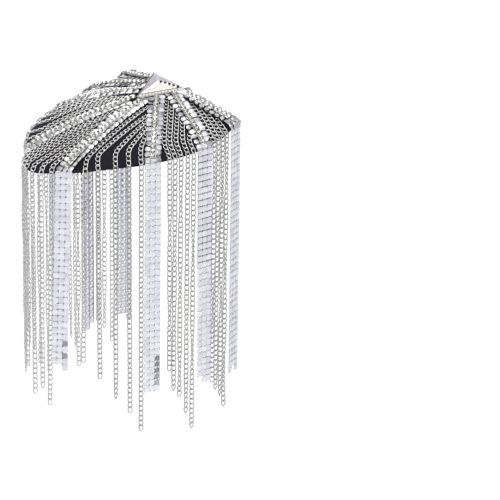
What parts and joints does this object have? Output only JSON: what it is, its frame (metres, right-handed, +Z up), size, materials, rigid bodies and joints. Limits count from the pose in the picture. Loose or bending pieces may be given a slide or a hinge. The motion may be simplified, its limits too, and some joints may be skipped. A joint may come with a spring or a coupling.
{
  "type": "fringe epaulette",
  "caption": "Domed felt shoulder epaulette with a triangular plate, strips of disc mesh and crystals, and a long fringe of curb chains.",
  "frame": {"origin": "on the underside of the felt board over the point of the shoulder, where the bar pin sits", "axes": "+Z up, +X from the arm towards the wearer's neck along the ridge, -Y towards the wearer's front"},
  "size_m": [0.1624, 0.153, 0.2773],
  "materials": {
    "felt": "matte black felt",
    "polished_metal": "polished, slightly lavender",
    "paving": "cream crystals in white metal",
    "disc_mesh": "satin discs",
    "crystal": "square crystals in metal cups",
    "curb_chain": "nickel plate",
    "pin_steel": "plain"
  },
  "bodies": {
    "root": {"felt_board": "felt", "plate": "polished_metal", "plate_pave": "paving", "bar_pin": "pin_steel", "disc_strip_1": "disc_mesh", "disc_strip_2": "disc_mesh", "disc_strip_3": "disc_mesh", "disc_strip_4": "disc_mesh", "disc_strip_5": "disc_mesh", "disc_strip_6": "disc_mesh", "disc_strip_7": "disc_mesh", "disc_strip_8": "disc_mesh", "crystal_row_1": "crystal", "crystal_row_2": "crystal", "crystal_row_3": "crystal", "crystal_row_4": "crystal", "crystal_row_5": "crystal", "crystal_row_6": "crystal", "crystal_row_7": "crystal", "crystal_row_8": "crystal", "chain_01": "curb_chain", "chain_02": "curb_chain", "chain_03": "curb_chain", "chain_04": "curb_chain", "chain_05": "curb_chain", "chain_06": "curb_chain", "chain_07": "curb_chain", "chain_08": "curb_chain", "chain_09": "curb_chain", "chain_10": "curb_chain", "chain_11": "curb_chain", "chain_12": "curb_chain", "chain_13": "curb_chain", "chain_14": "curb_chain", "chain_15": "curb_chain", "chain_16": "curb_chain", "chain_17": "curb_chain", "chain_18": "curb_chain", "chain_19": "curb_chain", "chain_20": "curb_chain", "chain_21": "curb_chain", "chain_22": "curb_chain", "chain_23": "curb_chain", "chain_24": "curb_chain", "chain_25": "curb_chain", "chain_26": "curb_chain", "chain_27": "curb_chain", "chain_28": "curb_chain", "chain_29": "curb_chain", "chain_30": "curb_chain", "chain_31": "curb_chain", "chain_32": "curb_chain", "chain_33": "curb_chain"}
  },
  "joints": []
}
